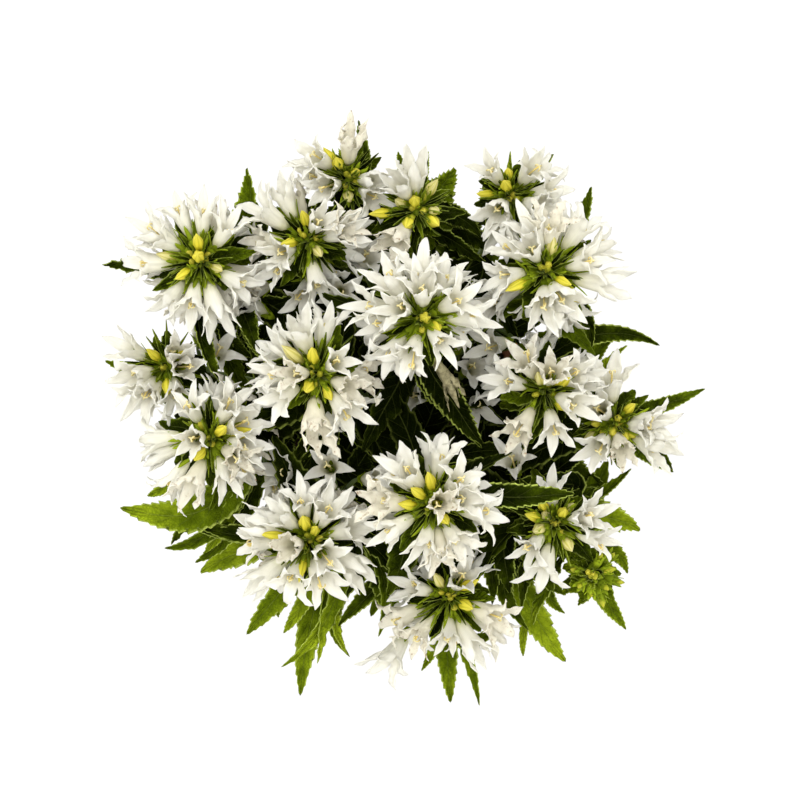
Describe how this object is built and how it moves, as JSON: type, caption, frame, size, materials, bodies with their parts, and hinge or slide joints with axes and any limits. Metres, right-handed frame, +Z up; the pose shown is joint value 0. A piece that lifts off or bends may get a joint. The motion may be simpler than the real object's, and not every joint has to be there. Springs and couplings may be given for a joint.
{
  "type": "potted clustered bellflower",
  "caption": "Clustered bellflower with white bell flowers in dense heads on leafy stems, growing in a plain round clay pot.",
  "frame": {"origin": "centre of the underside of the pot, on the surface that it stands on", "axes": "+Z up along the pot's axis; +X to the right and +Y to the top of the picture, which looks straight down"},
  "size_m": [0.277, 0.2693, 0.2967],
  "materials": {
    "clay": "matt",
    "compost": "rough",
    "stem": "satin",
    "petal": "matt",
    "bud": "matt",
    "leaf": "satin"
  },
  "bodies": {
    "root": {"pot": "clay", "soil": "compost", "stem_01": "stem", "stem_02": "stem", "stem_03": "stem", "stem_04": "stem", "stem_05": "stem", "stem_06": "stem", "stem_07": "stem", "stem_08": "stem", "stem_09": "stem", "stem_10": "stem", "stem_11": "stem", "stem_12": "stem", "stem_13": "stem", "stem_14": "stem", "stem_15": "stem", "stem_16": "stem", "stem_17": "stem", "flower_head_01": "petal", "flower_head_02": "petal", "flower_head_03": "petal", "flower_head_04": "petal", "flower_head_05": "petal", "flower_head_06": "petal", "flower_head_07": "petal", "flower_head_08": "petal", "flower_head_09": "petal", "flower_head_10": "petal", "flower_head_11": "petal", "flower_head_12": "petal", "flower_head_13": "petal", "flower_head_14": "petal", "flower_head_15": "petal", "flower_head_16": "petal", "bud_head_17": "bud", "leaf_01": "leaf", "leaf_02": "leaf", "leaf_03": "leaf", "leaf_04": "leaf", "leaf_05": "leaf", "leaf_06": "leaf", "leaf_07": "leaf", "leaf_08": "leaf", "leaf_09": "leaf", "leaf_10": "leaf", "leaf_11": "leaf", "leaf_12": "leaf", "leaf_13": "leaf", "leaf_14": "leaf", "leaf_15": "leaf", "leaf_16": "leaf", "leaf_17": "leaf", "leaf_18": "leaf", "leaf_19": "leaf", "leaf_20": "leaf", "leaf_21": "leaf", "leaf_22": "leaf", "leaf_23": "leaf", "leaf_24": "leaf"}
  },
  "joints": []
}
